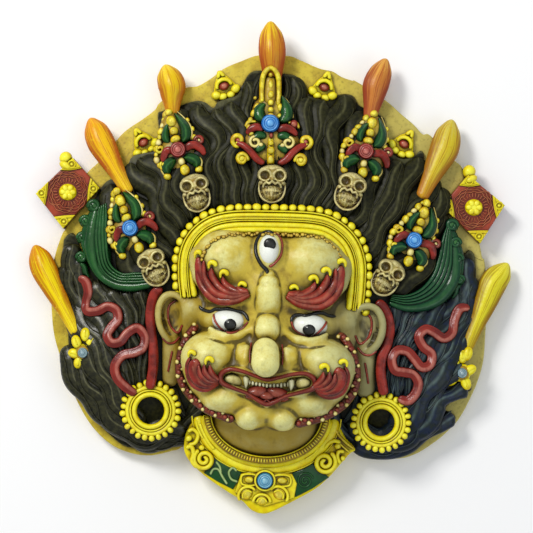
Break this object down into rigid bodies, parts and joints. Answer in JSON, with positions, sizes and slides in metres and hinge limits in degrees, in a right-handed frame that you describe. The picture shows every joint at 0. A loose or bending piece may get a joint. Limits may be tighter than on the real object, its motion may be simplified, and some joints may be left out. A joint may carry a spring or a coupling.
{
  "type": "wall mask",
  "caption": "Painted relief mask of a wrathful three-eyed deity with skull crown, flame halo, long hair, round earrings and a collar; hollow at the back.",
  "frame": {"origin": "middle of the mask's width and height, on the flat plane of its back rim", "axes": "+Z out of the face, +Y up towards the tip of the top flame, +X to the viewer's right"},
  "size_m": [0.365, 0.3719, 0.1025],
  "materials": {
    "painted_cast": "brush-painted, dark wash in the recesses, satin varnish"
  },
  "bodies": {
    "root": {"bhairab_mask": "painted_cast"}
  },
  "joints": []
}
